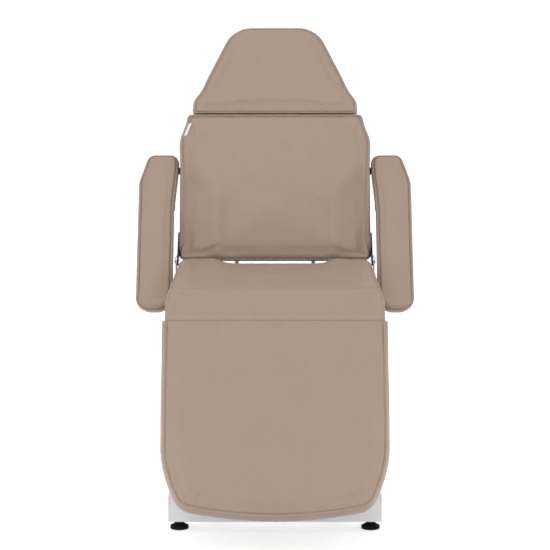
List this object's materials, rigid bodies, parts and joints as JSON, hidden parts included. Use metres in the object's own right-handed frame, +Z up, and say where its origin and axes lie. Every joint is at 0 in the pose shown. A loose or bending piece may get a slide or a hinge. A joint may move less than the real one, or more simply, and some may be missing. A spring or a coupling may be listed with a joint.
{
  "type": "hydraulic beauty chair",
  "caption": "Padded salon treatment chair on a foot-pumped lifting column, with a tilting back, leg rest, headrest and swing-up armrests on a white steel floor frame.",
  "frame": {"origin": "on the floor under the middle of the chair's bounding box, on the lifting column's axis", "axes": "+Z up, -Y the way the sitter faces, +X to the right in the picture"},
  "size_m": [0.778, 1.1506, 1.2822],
  "materials": {
    "taupe_vinyl": "satin",
    "board_cover": "matte",
    "white_steel": "gloss",
    "black_steel": "satin",
    "zinc_steel": "satin",
    "chrome_rod": "gloss",
    "black_plastic": "matte",
    "white_plastic": "satin",
    "rubber_black": "matte"
  },
  "bodies": {
    "base": {"base_front_beam": "white_steel", "base_rear_beam": "white_steel", "base_rails": "white_steel", "beam_end_caps": "white_plastic", "foot_weld_nuts": "zinc_steel", "deck_plate": "white_steel", "column_outer": "white_steel", "flange_fasteners": "zinc_steel", "column_collar": "black_plastic", "ram_block": "black_steel", "ram_barrel": "zinc_steel", "ram_gland": "black_steel", "pump_block": "black_steel", "oil_tank": "black_steel", "oil_pipes": "zinc_steel"},
    "foot_front_left": {"foot_front_left": "rubber_black"},
    "foot_front_right": {"foot_front_right": "rubber_black"},
    "foot_rear_left": {"foot_rear_left": "rubber_black"},
    "foot_rear_right": {"foot_rear_right": "rubber_black"},
    "seat": {"ram_piston": "zinc_steel", "ram_rod": "chrome_rod", "column_slider": "white_steel", "slider_glide": "black_plastic", "lift_plate": "white_steel", "seat_rails": "white_steel", "seat_cross_tubes": "white_steel", "stay_cross_tube": "white_steel", "seat_board": "board_cover", "seat_pad": "taupe_vinyl", "leg_brackets": "white_steel", "hinge_bolts": "zinc_steel", "back_brackets": "zinc_steel", "stay_clamps": "black_steel"},
    "leg_rest": {"leg_straps": "black_steel", "leg_cross_tube": "white_steel", "leg_board": "board_cover", "leg_pad": "taupe_vinyl"},
    "back_rest": {"back_hinge_arms": "black_steel", "back_board": "board_cover", "back_pad": "taupe_vinyl", "back_stays": "zinc_steel", "back_straps": "black_steel", "arm_mounts": "black_steel", "arm_pins": "zinc_steel", "arm_spacers": "black_plastic", "head_hinge_pins": "zinc_steel"},
    "headrest": {"head_straps": "black_steel", "head_board": "board_cover", "head_pad": "taupe_vinyl"},
    "armrest_left": {"arm_hub_left": "black_steel", "arm_board_left": "board_cover", "arm_pad_left": "taupe_vinyl"},
    "armrest_right": {"arm_hub_right": "black_steel", "arm_board_right": "board_cover", "arm_pad_right": "taupe_vinyl"},
    "release": {"release_lever": "zinc_steel", "release_grip": "black_plastic"},
    "pedal": {"pedal_rods": "zinc_steel", "pedal_arms": "black_steel", "pedal_grip": "rubber_black"}
  },
  "joints": [
    {"name": "seat_lift", "type": "slide", "parent": "base", "child": "seat", "axis": [0, 0, 1], "range_m": [0, 0.19]},
    {"name": "leg_raise", "type": "hinge", "parent": "seat", "child": "leg_rest", "pos_m": [0, -0.254, 0.5375], "axis": [-1, 0, 0], "range_deg": [0, 65]},
    {"name": "back_recline", "type": "hinge", "parent": "seat", "child": "back_rest", "pos_m": [0, 0.168, 0.649], "axis": [-1, 0, 0], "range_deg": [0, 64]},
    {"name": "head_tilt", "type": "hinge", "parent": "back_rest", "child": "headrest", "pos_m": [0, 0.41354, 1.011], "axis": [-1, 0, 0], "range_deg": [0, 35]},
    {"name": "arm_raise_left", "type": "hinge", "parent": "back_rest", "child": "armrest_left", "pos_m": [0, 0.36201, 0.87569], "axis": [-1, 0, 0], "range_deg": [0, 95]},
    {"name": "arm_raise_right", "type": "hinge", "parent": "back_rest", "child": "armrest_right", "pos_m": [0, 0.36201, 0.87569], "axis": [-1, 0, 0], "range_deg": [0, 95]},
    {"name": "release_pull", "type": "hinge", "parent": "seat", "child": "release", "pos_m": [0, 0.22, 0.472], "axis": [-1, 0, 0], "range_deg": [0, 18], "stiffness_Nm_per_rad": 3, "springref_deg": -17.19},
    {"name": "pedal_press", "type": "hinge", "parent": "base", "child": "pedal", "pos_m": [0, 0.171, 0.13], "axis": [-1, 0, 0], "range_deg": [0, 16], "stiffness_Nm_per_rad": 30, "springref_deg": -28.65},
    {"name": "level_front_left", "type": "hinge", "parent": "base", "child": "foot_front_left", "pos_m": [-0.259, -0.3, 0], "axis": [0, 0, 1], "continuous": true},
    {"name": "level_front_right", "type": "hinge", "parent": "base", "child": "foot_front_right", "pos_m": [0.259, -0.3, 0], "axis": [0, 0, 1], "continuous": true},
    {"name": "level_rear_left", "type": "hinge", "parent": "base", "child": "foot_rear_left", "pos_m": [-0.259, 0.37, 0], "axis": [0, 0, 1], "continuous": true},
    {"name": "level_rear_right", "type": "hinge", "parent": "base", "child": "foot_rear_right", "pos_m": [0.259, 0.37, 0], "axis": [0, 0, 1], "continuous": true}
  ]
}
